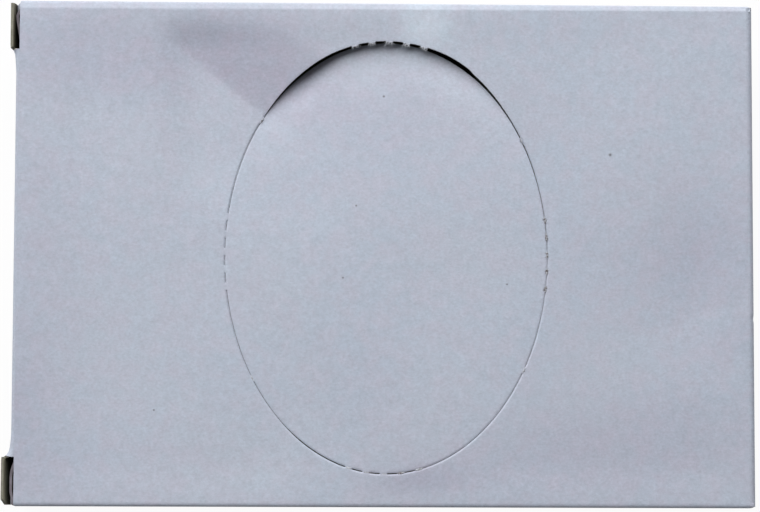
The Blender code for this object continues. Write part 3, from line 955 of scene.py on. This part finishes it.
def dust_place(side):
    """Mid-surface of a left dust flap, on the upper side or the lower one."""
    def place(u, v):
        """u runs from the side panel's flat end over the crease and along the flap."""
        steps, along, down = CRISP
        crease = np.clip(u / QUARTER, 0, 1)
        reach = np.maximum(u - QUARTER, 0.0)
        x = -(DUST_OUTER - FOLD) - np.interp(crease, steps, along)
        y = SIDE - 0.03 * MM - BOARD / 2 - np.interp(crease, steps, down) - reach
        low = np.maximum(1.6 * MM, reach / 3.2 + 0.6 * MM)
        high = 26.9 * MM - 1.0 * MM * ease(5.5 * MM, 7.5 * MM, reach) - 1.5 * MM * reach / DUST_LENGTH
        over = np.clip((reach - (DUST_LENGTH - 4 * MM)) / (4 * MM), 0, 1)
        trim = 4 * MM * (1 - np.sqrt(np.maximum(1 - over ** 2, 0))) * 0.9
        z = low + trim + (high - low - 2 * trim) * v
        if side < 0:
            bow = 0.66 * MM * ease(8.6 * MM, 4.4 * MM, reach) * ease(0, QUARTER * 0.8, u)
        else:
            bow = 0.62 * MM * ease(7.0 * MM, 1.5 * MM, reach) * ease(0, QUARTER * 0.8, u)
        x = x - bow * ease(15 * MM, 25 * MM, z) ** 1.5
        corner = ease(2.2 * MM, 0.2 * MM, reach) * ease(0, QUARTER, u)
        x = x + (0.75 if side > 0 else 0.3) * MM * corner * ease(high - 2.0 * MM, high, z)
        x = x + 0.5 * MM * ease(8 * MM, DUST_LENGTH, reach)
        return np.stack([x, side * y, z], -1)
    return place


def make_dust(end, level, side):
    """Dust flap with its fold to the side panel."""
    place = dust_place(side)
    if end == "right":
        place = turned(place)
    name = f"{end}_{level}_dust"
    columns = spread((0, QUARTER, 10), (QUARTER, QUARTER + 9 * MM, 18),
                     (QUARTER + 9 * MM, QUARTER + DUST_LENGTH - 4 * MM, 16),
                     (QUARTER + DUST_LENGTH - 4 * MM, QUARTER + DUST_LENGTH * 0.999, 10))
    mesh = board_sheet(name + "_board", columns, np.linspace(0, 1, 25), place, flip=side < 0)
    obj = mesh.build(name + "_board", DUST_LOOK)
    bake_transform(obj)
    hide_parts(name)


for end in ("left", "right"):
    make_closure(end)
    make_tuck(end)
    for level, side in (("upper", 1), ("lower", -1)):
        make_dust(end, level, side)


# ---------------------------------------------------------------- stage, light, camera

def make_stage():
    """Plain pale floor, which the camera sees as nearly pure white."""
    mesh = bpy.data.meshes.new("floor")
    size = 4.0
    corners = [(-size, -size, 0), (size, -size, 0), (size, size, 0), (-size, size, 0)]
    mesh.from_pydata(corners, [], [(0, 1, 2, 3)])
    floor = bpy.data.objects.new("floor", mesh)
    floor.location.z = -0.2 * MM
    bpy.context.scene.collection.objects.link(floor)
    material, tree, shader = make_material("floor", {"Base Color": (0.80, 0.80, 0.80, 1), "Roughness": 0.9})
    glow = node(tree, "ShaderNodeEmission")
    glow.inputs["Strength"].default_value = 1.0
    seen = node(tree, "ShaderNodeLightPath")
    share = math_node(tree, "MULTIPLY", seen.outputs["Is Camera Ray"], 0.95)
    blend = node(tree, "ShaderNodeMixShader")
    tree.links.new(share, blend.inputs[0])
    tree.links.new(shader.outputs[0], blend.inputs[1])
    tree.links.new(glow.outputs[0], blend.inputs[2])
    tree.links.new(blend.outputs[0], tree.nodes["Material Output"].inputs["Surface"])
    mesh.materials.append(material)


def add_light(name, location, target, size, power, colour):
    """Rectangular soft light aimed at a point."""
    data = bpy.data.lights.new(name, "AREA")
    data.shape = "RECTANGLE"
    data.size, data.size_y = size
    data.energy = power
    data.color = colour
    light = bpy.data.objects.new(name, data)
    light.location = location
    aim = Vector(target) - Vector(location)
    light.rotation_mode = "QUATERNION"
    light.rotation_quaternion = aim.to_track_quat("-Z", "Y")
    bpy.context.scene.collection.objects.link(light)


def make_camera():
    """Camera almost straight above the front panel, from slightly below and left of its middle."""
    distance = 0.500
    azimuth, elevation, roll = math.radians(20.549), math.radians(84.791), math.radians(20.802)
    target = Vector((-0.738 * MM, -0.500 * MM, 28 * MM))
    flat = Vector((math.sin(azimuth), math.cos(azimuth), 0))
    forward = flat * math.cos(elevation) - Vector((0, 0, math.sin(elevation)))
    level = Vector((math.cos(azimuth), -math.sin(azimuth), 0))
    up = level.cross(forward)
    right = level * math.cos(roll) + up * math.sin(roll)
    upright = up * math.cos(roll) - level * math.sin(roll)
    data = bpy.data.cameras.new("camera")
    data.lens = 133.24
    data.sensor_width = 36.0
    data.clip_start = 0.01
    camera = bpy.data.objects.new("camera", data)
    turn = Matrix((right, upright, -forward)).transposed()
    camera.matrix_world = Matrix.Translation(target - forward * distance) @ turn.to_4x4()
    bpy.context.scene.collection.objects.link(camera)
    bpy.context.scene.camera = camera


make_stage()
add_light("key", (-0.30, 0.87, 0.80), (0, 0, 0), (1.6, 1.4), 26.9, (1.0, 1.0, 1.0))
world = bpy.data.worlds.new("studio")
world.use_nodes = True
world.node_tree.nodes["Background"].inputs["Color"].default_value = (0.97, 0.98, 1.0, 1)
world.node_tree.nodes["Background"].inputs["Strength"].default_value = 0.12
bpy.context.scene.world = world
bpy.context.scene.view_settings.view_transform = "Standard"
make_camera()
